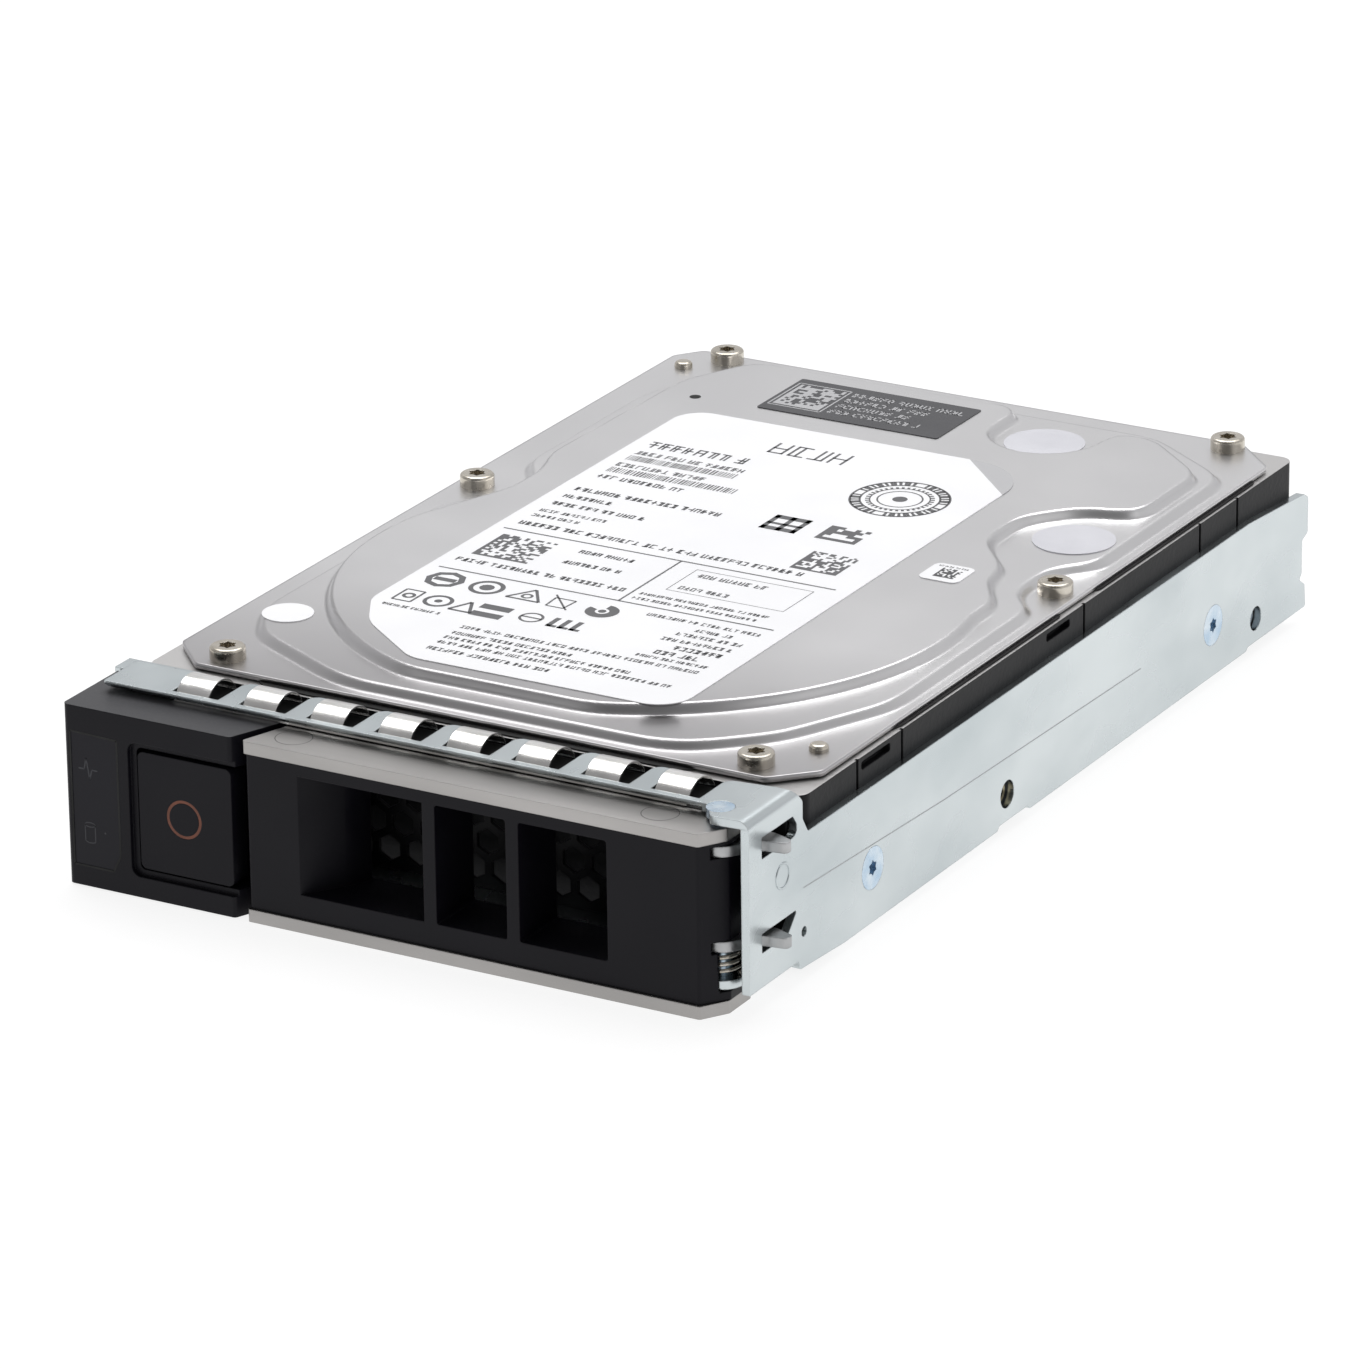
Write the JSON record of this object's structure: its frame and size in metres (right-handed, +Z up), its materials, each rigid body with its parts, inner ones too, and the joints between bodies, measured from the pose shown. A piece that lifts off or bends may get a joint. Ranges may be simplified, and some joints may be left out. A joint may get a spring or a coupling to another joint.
{
  "type": "hard disk drive in hot-swap carrier",
  "caption": "Internal hard disk drive in a sheet-metal hot-swap carrier, with a hinged grip handle, a release button, spring contact fingers and working discs and actuator inside.",
  "frame": {"origin": "middle of the bounding box at its lowest point, under the handle", "axes": "+X to the right seen from the handle, +Y from the handle towards the connector, +Z up, label side up"},
  "size_m": [0.1068, 0.1688, 0.0288],
  "materials": {
    "cast_black": "black e-coat, satin",
    "cover_steel": "satin stamped steel",
    "gasket": "matt",
    "nickel_screw": "nickel plated",
    "blue_zinc": "blue zinc plated",
    "zinc_sheet": "zinc plated, satin",
    "bright_spring": "bright tin plated",
    "black_plastic": "fine spark texture",
    "window_plastic": "smoked, satin",
    "ring_orange": "copper orange",
    "grip_plate": "brushed dark nickel",
    "zinc_casting": "die-cast zinc, satin",
    "white_label": "printed film",
    "dark_label": "printed film",
    "silver_label": "satin foil",
    "disc_mirror": "polished",
    "aluminium": "machined",
    "magnet": "nickel plated magnet",
    "coil_copper": "enamelled copper winding",
    "board_green": "solder mask",
    "chip_black": "epoxy",
    "natural_plastic": "natural polymer",
    "filter_white": "filter fleece"
  },
  "bodies": {
    "carrier": {"base_casting": "cast_black", "top_cover": "cover_steel", "cover_gasket": "gasket", "cover_screws": "nickel_screw", "locating_pins": "nickel_screw", "breather_filter": "filter_white", "main_label": "white_label", "service_label": "dark_label", "code_label": "white_label", "front_seal_sticker": "white_label", "pivot_seal_sticker": "silver_label", "rear_seal_sticker": "silver_label", "spindle_shaft": "nickel_screw", "stator_coils": "coil_copper", "pivot_shaft": "nickel_screw", "lower_magnet": "magnet", "upper_magnet": "magnet", "lower_yoke_plate": "magnet", "upper_yoke_plate": "magnet", "load_ramp": "natural_plastic", "recirculation_filter": "filter_white", "ribbon_bracket": "chip_black", "flex_ribbon": "ring_orange", "circuit_board": "board_green", "board_chips": "chip_black", "board_screws": "nickel_screw", "sata_connector": "chip_black", "carrier_frame": "zinc_sheet", "left_rail": "zinc_sheet", "side_screws": "blue_zinc", "finger_strip": "bright_spring", "emi_screen": "cast_black", "bezel_housing": "black_plastic", "indicator_window": "window_plastic", "button_spring": "nickel_screw", "pivot_pin": "blue_zinc", "handle_spring": "nickel_screw"},
    "handle": {"handle_body": "black_plastic", "handle_top_plate": "grip_plate", "handle_bottom_plate": "grip_plate", "handle_rivets": "grip_plate", "upper_hook": "zinc_casting", "lower_hook": "zinc_casting"},
    "button": {"release_button": "black_plastic", "button_ring": "ring_orange"},
    "latch": {"latch_slider": "black_plastic"},
    "disc_pack": {"spindle_hub": "aluminium", "rotor_magnet": "magnet", "disc_1": "disc_mirror", "disc_2": "disc_mirror", "disc_3": "disc_mirror", "disc_4": "disc_mirror", "disc_5": "disc_mirror", "disc_spacers": "aluminium", "disc_clamp": "aluminium", "clamp_screws": "nickel_screw"},
    "actuator": {"actuator_block": "aluminium", "head_suspensions": "nickel_screw", "voice_coil": "coil_copper", "pivot_bearing": "nickel_screw"}
  },
  "joints": [
    {"name": "handle_hinge", "type": "hinge", "parent": "carrier", "child": "handle", "pos_m": [0.0448, -0.07835, 0.0127], "axis": [0, 0, 1], "range_deg": [0, 50]},
    {"name": "button_press", "type": "slide", "parent": "carrier", "child": "button", "axis": [0, 1, 0], "range_m": [0, 0.002], "stiffness_N_per_m": 500, "deforming": ["button_spring"]},
    {"name": "latch_slide", "type": "slide", "parent": "carrier", "child": "latch", "axis": [-1, 0, 0], "range_m": [0, 0.002]},
    {"name": "disc_spin", "type": "hinge", "parent": "carrier", "child": "disc_pack", "pos_m": [-0.0014, -0.01445, 0.0167], "axis": [0, 0, 1], "continuous": true},
    {"name": "actuator_swing", "type": "hinge", "parent": "carrier", "child": "actuator", "pos_m": [0.0156, 0.04105, 0.0167], "axis": [0, 0, 1], "range_deg": [0, 35]}
  ],
  "couplings": [
    {"joint": "latch_slide", "follows": "button_press", "ratio": 1}
  ]
}
